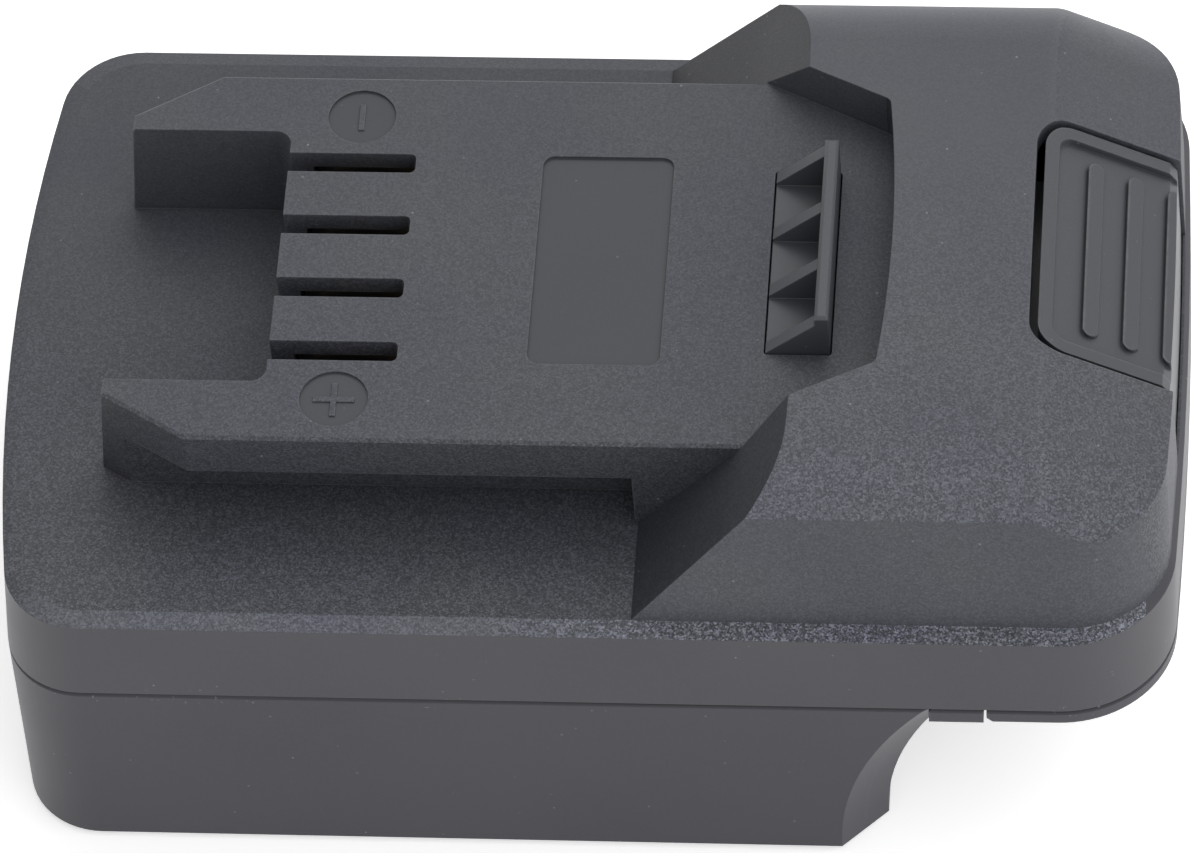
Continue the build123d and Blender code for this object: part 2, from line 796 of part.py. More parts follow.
def terminal_clip(place):
    """Forked spring contact: two leaves on a spine, with a solder tail."""
    mouth = spine_x - clip_arm_length - clip_mouth_length
    throat = spine_x - clip_arm_length
    leaf = make_face(Polyline([
        (mouth, clip_mouth_width / 2),
        (throat, clip_throat_width / 2),
        (spine_x, clip_spine_width / 2),
        (spine_x, clip_spine_width / 2 + clip_thickness),
        (throat, clip_throat_width / 2 + clip_thickness),
        (mouth, clip_mouth_width / 2 + clip_thickness),
        (mouth, clip_mouth_width / 2),
    ]))
    top = clip_low + clip_height
    leaves = lifted(leaf, clip_low, top) + lifted(mirror(leaf, Plane.XZ), clip_low, top)
    side = clip_spine_width / 2 + clip_thickness
    body = leaves + block_of((spine_x, -side, clip_low), (spine_x + clip_thickness, side, top))
    tail = clip_tail_width / 2
    low = clip_low - holder_floor - clip_tail_length
    body += block_of((spine_x, -tail, low), (spine_x + clip_thickness, tail, clip_low))
    return Pos(0, place, 0) * body


def blade(place):
    """Flat blade for the battery pack, with a tail for its lead."""
    tip = window_end - fit_gap + blade_reach
    high = blade_low + blade_height
    tail_end = blade_tail_x + blade_tail_width
    outline = [
        (blade_tail_x, blade_low),
        (tip - blade_tip_bevel, blade_low),
        (tip, blade_low + blade_tip_bevel),
        (tip, high - blade_tip_bevel),
        (tip - blade_tip_bevel, high),
        (tail_end, high),
        (tail_end, blade_tail_top),
        (blade_tail_x, blade_tail_top),
    ]
    return Pos(0, place, 0) * side_prism(outline, blade_thickness / 2)


def battery_block():
    """Insulating block that carries the blades in the channel."""
    half = block_window_width / 2
    low = (window_start + fit_gap, fit_gap - half, channel_roof - block_body_drop)
    body = block_of(low, (window_end - fit_gap, half - fit_gap, channel_top))
    body = chamfer(body.edges().filter_by(Axis.Z), block_corner)
    start = block_screw_x - small_boss_radius
    end = window_end + block_flange_reach
    side = half + block_side_reach
    flange = block_of((start, -side, channel_top), (end, side, channel_top + block_flange_thickness))
    body += chamfer(flange.edges().filter_by(Axis.Z), block_corner)
    for place in terminal_places:
        body -= blade(place)
    for x, y in block_screw_places:
        body -= post(x, y, 0, channel_top + overrun, small_screw_radius + tongue_gap)
    return body


def lead(place, radius):
    """Insulated lead from the tail of a blade up to the tail of a clip."""
    start_x = blade_tail_x + blade_tail_width / 2
    end_x = spine_x + clip_thickness / 2
    end_z = clip_low - holder_floor - clip_tail_length
    middle_z = (blade_tail_top + end_z) / 2
    path = Polyline([
        (start_x, 0, blade_tail_top),
        (start_x, 0, middle_z - lead_run_rise / 2),
        (end_x, 0, middle_z + lead_run_rise / 2),
        (end_x, 0, end_z),
    ])
    section = Plane(path @ 0, z_dir=path % 0) * RegularPolygon(radius, lead_sides)
    return Pos(0, place, 0) * sweep(section, path=path, transition=Transition.RIGHT)


def build():
    """Every piece of the adapter by the name of its node."""
    signal_b, signal_a = terminal_places[1:-1]
    poles = {
        "positive": terminal_places[0],
        "signal_b": signal_b,
        "signal_a": signal_a,
        "negative": terminal_places[-1],
    }
    pieces = {
        "top_shell": top_shell(),
        "lower_shell": lower_shell(),
        "latch_cover": latch_cover(),
        "latch_hook": latch_hook(),
        "release_button": release_button(),
        "tool_terminal_holder": terminal_holder(),
        "battery_terminal_block": battery_block(),
    }
    for name, (x, y) in zip(("near", "far"), spring_places):
        pieces[f"latch_spring_{name}"] = latch_spring(x, y)
    for name, place in poles.items():
        pieces[f"tool_clip_{name}"] = terminal_clip(place)
        pieces[f"battery_blade_{name}"] = blade(place)
        radius = signal_lead_radius if name.startswith("signal") else power_lead_radius
        pieces[f"lead_{name}"] = lead(place, radius)
    case_places = end_screw_places + side_screw_places
    large = (case_screw_length, screw_radius, screw_head_radius, screw_head_height)
    small = (small_screw_length, small_screw_radius, small_head_radius, small_head_height)
    pieces["case_screws"] = screw_group(case_places, case_screw_seat, *large)
    pieces["cover_screws"] = screw_group(cover_screw_places, parting_z, *small)
    pieces["holder_screws"] = screw_group(holder_screw_places, holder_base, *small)
    flange_top = channel_top + block_flange_thickness
    pieces["terminal_block_screws"] = screw_group(block_screw_places, flange_top, *small, up=False)
    return pieces


if __name__ == "__main__":
    os.makedirs("parts", exist_ok=True)
    for node, piece in build().items():
        export_step(piece, f"parts/{node}.step")
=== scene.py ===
from math import atan2, cos, pi, radians, sin
from typing import NamedTuple

import bmesh
import bpy
from bpy.props import FloatProperty, FloatVectorProperty, PointerProperty
from mathutils import Matrix, Vector


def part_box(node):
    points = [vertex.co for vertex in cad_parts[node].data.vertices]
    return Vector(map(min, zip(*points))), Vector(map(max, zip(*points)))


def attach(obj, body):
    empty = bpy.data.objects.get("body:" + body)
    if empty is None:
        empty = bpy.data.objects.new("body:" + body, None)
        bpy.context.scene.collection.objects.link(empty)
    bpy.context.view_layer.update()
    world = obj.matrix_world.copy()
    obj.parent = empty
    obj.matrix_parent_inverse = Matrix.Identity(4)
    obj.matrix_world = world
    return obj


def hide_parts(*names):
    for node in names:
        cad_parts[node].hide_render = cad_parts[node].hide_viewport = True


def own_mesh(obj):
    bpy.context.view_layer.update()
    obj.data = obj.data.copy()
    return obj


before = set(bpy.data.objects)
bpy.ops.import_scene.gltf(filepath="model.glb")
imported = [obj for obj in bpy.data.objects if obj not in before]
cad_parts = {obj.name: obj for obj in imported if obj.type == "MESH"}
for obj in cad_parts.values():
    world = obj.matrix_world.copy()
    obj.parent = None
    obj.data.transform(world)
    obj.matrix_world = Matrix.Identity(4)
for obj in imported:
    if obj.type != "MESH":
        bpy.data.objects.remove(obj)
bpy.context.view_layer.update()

bl_info = {
    "name": "Tool battery adapter",
    "version": (1, 1, 0),
    "blender": (4, 5, 0),
    "location": "3D View > Sidebar > Adapter",
    "description": "Dresses the solids of a slide-on battery adapter and sets up a small studio",
    "category": "Object",
}

POLES = ("positive", "signal_b", "signal_a", "negative")

# Joining of loose triangles, and the angle from which an edge is shown crisp.
MERGE = 0.000002
FLAT = radians(0.4)
SHARP = radians(20)

# Heights on the two shells, in metres, and how closely a face has to lie on one.
PARTING = 0.0242
DECK = 0.0357
PLATEAU = 0.0483
LEVEL = 0.0001

# Height of the sloping rim round the deck, with some slack, and depth of the smooth recesses.
BAND = 0.0005
BAND_SLACK = 0.0002
RECESS = 0.0004

# Where the block starts, and how far out its flanks and the rails' sides lie.
BLOCK_FOOT = 0.0085
BLOCK_FLANK = 0.03
RAIL_INSIDE = 0.017

# Where the grain looks roughest and calmest in the light; its swing of tones is partly painted
# glints, strongest at the rough end.
GRAIN_NEAR = -0.034
GRAIN_FAR = 0.02

# Worn outer edges, lightened further as a painted highlight.
WORN_HIGHLIGHT = (0.2, 0.202, 0.21)
# Painted shade for inner corners and creases.
PAINTED_SHADE = (0.012, 0.012, 0.014)
SHADOW = (0.004, 0.004, 0.005)
SCUFF = (0.35, 0.35, 0.36)
DUST = (0.3, 0.3, 0.31)
WHITE = (1, 1, 1)
BLACK = (0, 0, 0)


class AdapterFinish(bpy.types.PropertyGroup):
    shell_colour: FloatVectorProperty(
        name="Shell colour", description="Plastic of the two shells and the cover",
        subtype="COLOR", size=3, min=0, max=1, default=(0.05, 0.052, 0.0605))
    latch_colour: FloatVectorProperty(
        name="Latch colour", description="Plastic of the hook and the button",
        subtype="COLOR", size=3, min=0, max=1, default=(0.057, 0.0592, 0.0685))
    insulator_colour: FloatVectorProperty(
        name="Insulator colour", description="Plastic of the terminal holder and block",
        subtype="COLOR", size=3, min=0, max=1, default=(0.016, 0.016, 0.018))
    contact_colour: FloatVectorProperty(
        name="Contact colour", description="Metal of the clips and blades",
        subtype="COLOR", size=3, min=0, max=1, default=(0.78, 0.64, 0.4))
    steel_colour: FloatVectorProperty(
        name="Steel colour", description="Metal of the springs and screws",
        subtype="COLOR", size=3, min=0, max=1, default=(0.58, 0.58, 0.6))
    positive_colour: FloatVectorProperty(
        name="Positive lead", description="Sleeve of the positive lead",
        subtype="COLOR", size=3, min=0, max=1, default=(0.5, 0.03, 0.025))
    negative_colour: FloatVectorProperty(
        name="Negative lead", description="Sleeve of the negative lead",
        subtype="COLOR", size=3, min=0, max=1, default=(0.02, 0.02, 0.021))
    signal_colour: FloatVectorProperty(
        name="Signal leads", description="Sleeve of the two signal leads",
        subtype="COLOR", size=3, min=0, max=1, default=(0.7, 0.7, 0.66))
    grain_size: FloatProperty(
        name="Grain size", description="Distance between the peaks of the eroded grain",
        subtype="DISTANCE", unit="LENGTH", min=0.00005, max=0.002, default=0.00021)
    grain_depth: FloatProperty(
        name="Grain depth", description="Height of the eroded grain",
        subtype="DISTANCE", unit="LENGTH", min=0, max=0.0005, default=0.00003)
    edge_softness: FloatProperty(
        name="Edge softness", description="Radius of the rounding on moulded edges",
        subtype="DISTANCE", unit="LENGTH", min=0, max=0.001, default=0.00018)
    # Strength of the edge wear, which also paints a highlight along the outer edges.
    edge_wear_and_highlight: FloatProperty(
        name="Edge wear", description="How much lighter the rubbed edges are",
        subtype="FACTOR", min=0, max=1, default=0.45)


class AdapterHardware(bpy.types.PropertyGroup):
    coil_count: FloatProperty(
        name="Open coils", description="Turns of a spring between its two closed ends",
        min=1, max=12, default=5)
    wire_radius: FloatProperty(
        name="Wire radius", description="Radius of the spring wire",
        subtype="DISTANCE", unit="LENGTH", min=0.0001, max=0.001, default=0.0003)
    thread_pitch_share: FloatProperty(
        name="Thread pitch", description="Pitch of a screw thread as a share of its diameter",
        subtype="FACTOR", min=0.2, max=1, default=0.45)
    core_share: FloatProperty(
        name="Screw core", description="Core of a screw as a share of its thread's radius",
        subtype="FACTOR", min=0.5, max=0.95, default=0.76)
    lead_bend: FloatProperty(
        name="Lead bend", description="Radius of the bends in a lead",
        subtype="DISTANCE", unit="LENGTH", min=0.001, max=0.01, default=0.0019)


class AdapterStudio(bpy.types.PropertyGroup):
    azimuth: FloatProperty(
        name="Camera azimuth", description="Turn of the camera round the adapter",
        subtype="ANGLE", default=radians(7.695))
    elevation: FloatProperty(
        name="Camera elevation", description="Height of the camera over the horizon",
        subtype="ANGLE", default=radians(52.002))
    roll: FloatProperty(
        name="Camera roll", description="Tilt of the camera about its own line of sight",
        subtype="ANGLE", default=radians(-5.121))
    distance: FloatProperty(
        name="Camera distance", description="From the camera to the point that it looks at",
        subtype="DISTANCE", unit="LENGTH", min=0.1, max=10, default=0.9367)
    target: FloatVectorProperty(
        name="Camera target", description="Point that the camera looks at",
        subtype="XYZ", unit="LENGTH", size=3, default=(0.001757, -0.014492, 0.04))
    lens: FloatProperty(
        name="Lens", description="Focal length on a 36 mm sensor, in millimetres",
        min=20, max=1000, default=283.99)
    room_light: FloatProperty(
        name="Room light", description="Strength of the light from the bright side of the room",
        min=0, max=2, default=1.2)
    shade_side: FloatProperty(
        name="Shaded side", description="Strength of the light from the terminal end's side",
        min=0, max=2, default=0.15)
    key_light: FloatProperty(
        name="Key light", description="Power of the large lamp overhead, in watts",
        min=0, max=200, default=4)
    floor_colour: FloatVectorProperty(
        name="Floor colour", description="Colour of the floor",
        subtype="COLOR", size=3, min=0, max=1, default=(0.86, 0.86, 0.86))


def finish():
    return bpy.context.scene.adapter_finish


def hardware():
    return bpy.context.scene.adapter_hardware


def studio():
    return bpy.context.scene.adapter_studio


def new_material(name):
    """Node material, its tree and its shader."""
    material = bpy.data.materials.new(name)
    material.use_nodes = True
    tree = material.node_tree
    shader = next(node for node in tree.nodes if node.type == "BSDF_PRINCIPLED")
    return material, tree, shader


def feed(tree, socket, value):
    """Links a socket to another one, or sets it to a plain value."""
    if isinstance(value, bpy.types.NodeSocket):
        tree.links.new(value, socket)
    else:
        socket.default_value = value


def object_place(tree):
    return tree.nodes.new("ShaderNodeTexCoord").outputs["Object"]


def along(tree, vector, axis):
    """One part of a vector, or of a colour read as one."""
    parts = tree.nodes.new("ShaderNodeSeparateXYZ")
    tree.links.new(vector, parts.inputs["Vector"])
    return parts.outputs[axis]


def noise(tree, place, scale, detail, roughness):
    node = tree.nodes.new("ShaderNodeTexNoise")
    node.inputs["Scale"].default_value = scale
    node.inputs["Detail"].default_value = detail
    node.inputs["Roughness"].default_value = roughness
    tree.links.new(place, node.inputs["Vector"])
    return node.outputs["Fac"]


def cells(tree, place, scale):
    """Distance from the middle of the nearest cell, and a chance value of that cell's own."""
    node = tree.nodes.new("ShaderNodeTexVoronoi")
    node.inputs["Scale"].default_value = scale
    tree.links.new(place, node.inputs["Vector"])
    return node.outputs["Distance"], along(tree, node.outputs["Color"], "X")


def remap(tree, value, low, high, out_low=0.0, out_high=1.0):
    """Value that goes from out_low to out_high while the given one goes from low to high."""
    node = tree.nodes.new("ShaderNodeMapRange")
    node.inputs["From Min"].default_value = low
    node.inputs["From Max"].default_value = high
    node.inputs["To Min"].default_value = out_low
    node.inputs["To Max"].default_value = out_high
    tree.links.new(value, node.inputs["Value"])
    return node.outputs["Result"]


def calculated(tree, operation, first, second=0):
    node = tree.nodes.new("ShaderNodeMath")
    node.operation = operation
    feed(tree, node.inputs[0], first)
    feed(tree, node.inputs[1], second)
    return node.outputs["Value"]


def product(tree, first, second):
    return calculated(tree, "MULTIPLY", first, second)


def away_from(tree, value, middle):
    """How far a value lies from a middle one, on either side."""
    return calculated(tree, "ABSOLUTE", calculated(tree, "SUBTRACT", value, middle))


def mixed(tree, share, first, second, blend="MIX"):
    """Two colours mixed by a share; each is a colour or a socket."""
    node = tree.nodes.new("ShaderNodeMix")
    node.data_type = "RGBA"
    node.blend_type = blend
    feed(tree, node.inputs["Factor"], share)
    for socket, colour in ((node.inputs["A"], first), (node.inputs["B"], second)):
        is_socket = isinstance(colour, bpy.types.NodeSocket)
        feed(tree, socket, colour if is_socket else (*colour, 1))
    return node.outputs["Result"]


def grey(tree, level):
    """Colour with the same level in its three channels."""
    node = tree.nodes.new("ShaderNodeCombineColor")
    for channel in ("Red", "Green", "Blue"):
        tree.links.new(level, node.inputs[channel])
    return node.outputs["Color"]


def scaled(colour, share):
    return [min(1.0, channel * share) for channel in colour]


def tinted(colour, red, green, blue):
    return [colour[0] * red, colour[1] * green, colour[2] * blue]


def bumped(tree, shader, height, distance, strength, softness=0.0):
    """Bump on the shader, over rounded edges where a softness is given."""
    node = tree.nodes.new("ShaderNodeBump")
    node.inputs["Distance"].default_value = distance
    node.inputs["Strength"].default_value = strength
    tree.links.new(height, node.inputs["Height"])
    if softness:
        rounding = tree.nodes.new("ShaderNodeBevel")
        rounding.samples = 6
        rounding.inputs["Radius"].default_value = softness
        tree.links.new(rounding.outputs["Normal"], node.inputs["Normal"])
    tree.links.new(node.outputs["Normal"], shader.inputs["Normal"])


def openness(tree, reach, inside):
    """Share that falls within reach of an outer edge, seen from inside, or of an inner corner."""
    node = tree.nodes.new("ShaderNodeAmbientOcclusion")
    node.samples = 6
    node.inside = inside
    node.only_local = True
    node.inputs["Distance"].default_value = reach
    return node.outputs["AO"]


def worn_highlit_and_shaded(tree, colour, place, wear_and_highlight, corner_shade, corner_shade_reach):
    """Lighter outer edges, partly wear and partly a painted highlight, and painted shade darkening
    the inner corners.
    """
    worn_highlight_reach = 0.00035
    # Outer edges lightened and broken up in blotches: edge wear together with a painted highlight.
    worn_highlight = remap(tree, openness(tree, worn_highlight_reach, inside=True), 0.75, 0.45)
    blotches = noise(tree, place, scale=900.0, detail=3.0, roughness=0.7)
    worn_highlight = product(tree, worn_highlight, remap(tree, blotches, 0.35, 0.7, 0.25, 1.0))
    worn_highlit = mixed(tree, product(tree, worn_highlight, wear_and_highlight), colour, WORN_HIGHLIGHT)
    # Painted shade: inner corners darkened where the ambient occlusion finds them.
    painted_corner_shade = remap(tree, openness(tree, corner_shade_reach, inside=False), 0.85, 0.4, 0.0, corner_shade)
    return mixed(tree, painted_corner_shade, worn_highlit, PAINTED_SHADE)


def dusted(tree, colour, place, amount):
    """A few pale specks of dust, well apart."""
    distance, chance = cells(tree, place, scale=620.0)
    speck = product(tree, remap(tree, distance, 0.1, 0.03), remap(tree, chance, 0.65, 1.0))
    return mixed(tree, product(tree, speck, amount), colour, DUST)


def seamed(tree, colour, place):
    """Dark hairline where the two shells meet, faint in one stretch, and scuffs beside it."""
    line_core, line_edge = 0.00008, 0.0002
    tight_middle, tight_core, tight_edge, tight_share = -0.032, 0.01, 0.022, 0.12
    scuff_core, scuff_edge = 0.0004, 0.0016
    off = away_from(tree, along(tree, place, "Z"), PARTING)
    line = remap(tree, off, line_edge, line_core)
    tight = away_from(tree, along(tree, place, "X"), tight_middle)
    gape = remap(tree, tight, tight_core, tight_edge, tight_share, 1.0)
    wander = noise(tree, place, scale=40.0, detail=2.0, roughness=0.6)
    uneven = remap(tree, wander, 0.4, 0.6, 0.6, 1.0)
    shown = mixed(tree, product(tree, product(tree, line, gape), uneven), colour, SHADOW)
    marks = noise(tree, place, scale=1800.0, detail=2.0, roughness=0.7)
    stretches = noise(tree, place, scale=120.0, detail=1.0, roughness=0.5)
    scuffs = product(
        tree, remap(tree, marks, 0.66, 0.76, 0.0, 0.8), remap(tree, stretches, 0.55, 0.65))
    scuffs = product(tree, scuffs, remap(tree, off, scuff_edge, scuff_core))
    return mixed(tree, scuffs, shown, SCUFF)


class Grain(NamedTuple):
    """Tone of a grained finish: its colour's share of the shell colour, which also paints light
    and shade onto each kind of face, and how far the grain's tones swing, partly as real grain and
    partly as painted glints, from calm at one place to rough at another along an axis. A flank
    that faces sideways is painted lighter as a glint, by a set factor once it faces sideways by a
    set amount."""
    share: float
    calm: float
    rough: float
    axis: str = "Y"
    calm_at: float = GRAIN_FAR
    rough_at: float = GRAIN_NEAR
    lift: float = 1.0
    full_glint_lift: float = 0.5
    # Painted shade in inner corners: its strength and its reach.
    corner_shade: float = 0.55
    corner_shade_reach: float = 0.0007
    specular: float = 0.5


def grained_plastic(name, grain):
    """Moulded plastic with a spark-eroded grain."""
    material, tree, shader = new_material(name)
    place = object_place(tree)
    size = finish().grain_size
    fine = noise(tree, place, scale=1.0 / size, detail=1.5, roughness=0.6)
    pit = cells(tree, place, scale=1.2 / size)[1]
    relief = calculated(tree, "ADD", pit, product(tree, fine, 0.8))
    # The grain's tone swing grows towards the near side; beyond the real grain it paints glints.
    strength = remap(
        tree, along(tree, place, grain.axis), grain.calm_at, grain.rough_at,
        1.0 + grain.calm, 1.0 + grain.rough)
    swing = calculated(tree, "POWER", strength, remap(tree, relief, 0.35, 1.45, -1.0, 1.0))
    # Painted glint: flanks that face sideways are made lighter.
    if grain.lift != 1.0:
        normal = tree.nodes.new("ShaderNodeNewGeometry").outputs["Normal"]
        sideways = away_from(tree, along(tree, normal, "Y"), 0)
        swing = product(tree, swing, remap(tree, sideways, 0.06, grain.full_glint_lift, 1.0, grain.lift))
    # The share paints light and shade: lighter or darker copies of the one shell colour for each
    # kind of face.
    colour = scaled(finish().shell_colour, grain.share)
    broad = noise(tree, place, scale=55.0, detail=2.0, roughness=0.5)
    base = mixed(tree, remap(tree, broad, 0.35, 0.65), colour, tinted(colour, 0.97, 0.98, 1.05))
    shown = mixed(tree, 1.0, base, grey(tree, swing), "MULTIPLY")
    # Worn edges with a painted highlight, and painted shade in inner corners.
    shown = worn_highlit_and_shaded(tree, shown, place, finish().edge_wear_and_highlight, grain.corner_shade, grain.corner_shade_reach)
    feed(tree, shader.inputs["Base Color"], dusted(tree, shown, place, amount=0.7))
    feed(tree, shader.inputs["Roughness"], remap(tree, broad, 0.3, 0.7, 0.52, 0.6))
    feed(tree, shader.inputs["Specular IOR Level"], grain.specular)
    bumped(tree, shader, fine, finish().grain_depth, 0.7, finish().edge_softness)
    return material


def satin_plastic(name, colour, roughness=0.46, wear_and_highlight=0.4, dust=0.6, corner_shade=0.55, seam=False):
    """Smoothly moulded plastic with a faint uneven gloss."""
    corner_shade_reach, gloss_swing = 0.0007, 0.04
    relief_depth = 0.000005
    material, tree, shader = new_material(name)
    place = object_place(tree)
    broad = noise(tree, place, scale=45.0, detail=3.0, roughness=0.5)
    fine = noise(tree, place, scale=4200.0, detail=2.0, roughness=0.5)
    clouds = mixed(tree, remap(tree, broad, 0.3, 0.7), scaled(colour, 0.96), scaled(colour, 1.04))
    specks = mixed(tree, remap(tree, fine, 0.35, 0.65), scaled(colour, 0.9), scaled(colour, 1.1))
    shown = mixed(tree, product(tree, broad, 0.9), clouds, specks)
    # Worn edges with a painted highlight, and painted shade in inner corners.
    shown = dusted(tree, worn_highlit_and_shaded(tree, shown, place, wear_and_highlight, corner_shade, corner_shade_reach), place, dust)
    if seam:
        shown = seamed(tree, shown, place)
    feed(tree, shader.inputs["Base Color"], shown)
    gloss = remap(tree, broad, 0.3, 0.7, roughness - gloss_swing, roughness + gloss_swing)
    feed(tree, shader.inputs["Roughness"], gloss)
    bumped(tree, shader, fine, relief_depth, 0.5, finish().edge_softness)
    return material


def drawn_metal(name, colour, roughness):
    """Bright metal with fine drawing lines and a little tarnish."""
    stretch_across, line_depth = 14, 0.000006
    material, tree, shader = new_material(name)
    place = object_place(tree)
    stretch = tree.nodes.new("ShaderNodeMapping")
    stretch.inputs["Scale"].default_value = (1, stretch_across, stretch_across)
    tree.links.new(place, stretch.inputs["Vector"])
    lines = noise(tree, stretch.outputs["Vector"], scale=700.0, detail=3.0, roughness=0.6)
    tarnish = noise(tree, place, scale=160.0, detail=3.0, roughness=0.5)
    shown = mixed(tree, remap(tree, tarnish, 0.35, 0.7), colour, scaled(colour, 0.78))
    shader.inputs["Metallic"].default_value = 1.0
    feed(tree, shader.inputs["Base Color"], shown)
    gloss = remap(tree, lines, 0.3, 0.7, roughness - 0.07, roughness + 0.1)
    feed(tree, shader.inputs["Roughness"], gloss)
    bumped(tree, shader, lines, line_depth, 0.5)
    return material


def sleeve_rubber(name, colour):
    """Soft sleeve of a lead, with a slightly uneven skin."""
    skin_depth = 0.00001
    material, tree, shader = new_material(name)
    place = object_place(tree)
    skin = noise(tree, place, scale=900.0, detail=3.0, roughness=0.5)
    shown = mixed(tree, remap(tree, skin, 0.3, 0.7), scaled(colour, 0.9), scaled(colour, 1.08))
    feed(tree, shader.inputs["Base Color"], shown)
    feed(tree, shader.inputs["Roughness"], remap(tree, skin, 0.3, 0.7, 0.38, 0.5))
    bumped(tree, shader, skin, skin_depth, 0.4)
    return material


def mesh_piece(work, name, sharp=SHARP):
    """Object from a bmesh, smooth inside each form and crisp between forms and finishes."""
    for face in work.faces:
        face.smooth = True
    for edge in work.edges:
        sides = edge.link_faces
        edge.smooth = (
            len(sides) == 2 and sides[0].material_index == sides[1].material_index
            and edge.calc_face_angle(pi) < sharp)
    mesh = bpy.data.meshes.new(name)
    work.to_mesh(mesh)
    work.free()
    piece = bpy.data.objects.new(name, mesh)
    bpy.context.scene.collection.objects.link(piece)
    return piece


def solid_copy(node):
    """Copy of a solid's loose triangles, joined up."""
    work = bmesh.new()
    work.from_mesh(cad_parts[node].data)
    bmesh.ops.remove_doubles(work, verts=work.verts[:], dist=MERGE)
    return work


def merged_piece(node, name, finish_of=None):
    """Object from a solid, with its flat faces whole."""
    work = solid_copy(node)
    bmesh.ops.dissolve_limit(
        work, angle_limit=FLAT, verts=work.verts[:], edges=work.edges[:], delimit=set())
    for face in work.faces:
        face.material_index = finish_of(face) if finish_of else 0
    return mesh_piece(work, name)


def even_shading(piece):
    """Large faces keep their own normals beside small ones."""
    weighted = piece.modifiers.new("even_shading", "WEIGHTED_NORMAL")
    weighted.keep_sharp = True
    weighted.weight = 60


def put_in_place(piece, body, materials, node):
    """Gives a finished piece its materials and its body, and hides the solid that it stands for.
    """
    for material in materials:
        piece.data.materials.append(material)
    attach(piece, body)
    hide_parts(node)


def dress(node, name, body, materials, finish_of=None):
    """Piece that stands for a solid, with its own finish."""
    piece = merged_piece(node, name, finish_of)
    even_shading(piece)
    put_in_place(piece, body, materials, node)


def softened(node, name, body, material, width):
    """Piece that stands for a solid, with its edges rounded off."""
    piece = merged_piece(node, name)
    rounding = piece.modifiers.new("rounded_edges", "BEVEL")
    rounding.width = width
    rounding.segments = 2
    rounding.limit_method = "ANGLE"
    rounding.angle_limit = radians(40)
    rounding.use_clamp_overlap = True
    rounding.harden_normals = True
    put_in_place(piece, body, (material,), node)


def drop_inner_sections(work, corners):
    """Deletes the cross-sections left inside a swept tube, and keeps its two end faces."""
    sections = [face for face in work.faces if len(face.verts) == corners]
    sections.sort(key=lambda face: face.calc_center_median().z)
    bmesh.ops.delete(work, geom=sections[1:-1], context="FACES_ONLY")


UPPER_FINISHES = (
    "deck", "deck_band", "side", "smooth_recess", "plateau",
    "rail_side", "block_front", "block_side", "crown", "block_end")

# Lit and shaded copies of the one grained shell: each kind of face gets its own share as painted
# light and shade, such as the lighter crown and block flanks and the darker block front and rail
# sides.
UPPER_GRAINS = {
    "deck": Grain(share=1.12, calm=0.25, rough=1.2),
    "deck_band": Grain(
        share=1.0, calm=0.7, rough=2.2, axis="X", calm_at=-0.01, rough_at=0.012,
        lift=2.0, full_glint_lift=0.24, corner_shade=0.1),
    "plateau": Grain(share=1.25, calm=0.28, rough=0.65),
    "rail_side": Grain(share=0.8, calm=0.4, rough=0.9, specular=0.35),
    "block_front": Grain(share=0.7, calm=0.3, rough=0.5, specular=0.35),
    "block_side": Grain(share=1.3, calm=0.38, rough=0.38, corner_shade=0.9, corner_shade_reach=0.0004),
    "crown": Grain(share=1.5, calm=0.12, rough=0.85, calm_at=0.012, lift=1.3),
    "block_end": Grain(share=1.24, calm=0.2, rough=0.9, lift=1.3),
}


def upper_finish(face):
    """Which of the upper shell's finishes a face has, by its place and the way it faces."""
    normal = face.normal
    centre = face.calc_center_median()
    above_deck = centre.z > DECK + LEVEL
    straight_up = normal.z > 0.99
    kind = "deck"
    if DECK - BAND - BAND_SLACK < centre.z < DECK + LEVEL and 0.5 < normal.z < 0.995:
        kind = band_finish(normal)
    elif centre.z < DECK - BAND / 2 and abs(normal.z) < 0.5:
        kind = "side"
    elif straight_up and PLATEAU - RECESS < centre.z < PLATEAU - LEVEL:
        kind = "smooth_recess"
    elif straight_up and abs(centre.z - PLATEAU) < LEVEL:
        kind = "plateau"
    elif centre.x > BLOCK_FOOT and above_deck:
        kind = block_finish(normal, centre)
    elif above_deck and abs(normal.z) < 0.7 and abs(centre.y) > RAIL_INSIDE:
        kind = "rail_side"
    return UPPER_FINISHES.index(kind)


def band_finish(normal):
    """Finish of the sloping rim round the deck: smooth at the button end, coarse on one side."""
    if normal.x > 0.35:
        return "side"
    if normal.y > 0.1:
        return "plateau"
    return "deck" if normal.x < -0.18 else "deck_band"


def block_finish(normal, centre):
    """Finish of the raised block: its two flanks, its front, and its top with the end slope."""
    if abs(normal.z) < 0.3 and abs(centre.y) > BLOCK_FLANK:
        return "block_side"
    if normal.x < -0.5:
        return "block_front"
    if normal.z > 0.4:
        return "block_end" if normal.x > 0.3 else "crown"
    return "deck"


class ADAPTER_OT_top_shell(bpy.types.Operator):
    """Upper shell: grained tops, a coarse rim along the deck, satin sides and smooth recesses"""
    bl_idname = "adapter.top_shell"
    bl_label = "Top shell"

    def execute(self, context):
        colour = finish().shell_colour
        side = tinted(colour, 0.92, 0.87, 0.92)
        recess = tinted(colour, 0.83, 0.84, 0.89)
        finishes = {
            "side": satin_plastic("shell_satin_side", side, seam=True),
            "smooth_recess": satin_plastic("shell_smooth_recess", recess, roughness=0.42),
        }
        for kind, grain in UPPER_GRAINS.items():
            name = "shell_coarse_band" if kind == "deck_band" else f"shell_{kind}"
            finishes[kind] = grained_plastic(name, grain)
        materials = [finishes[kind] for kind in UPPER_FINISHES]
        dress("top_shell", "shell_upper", "case", materials, upper_finish)
        return {"FINISHED"}


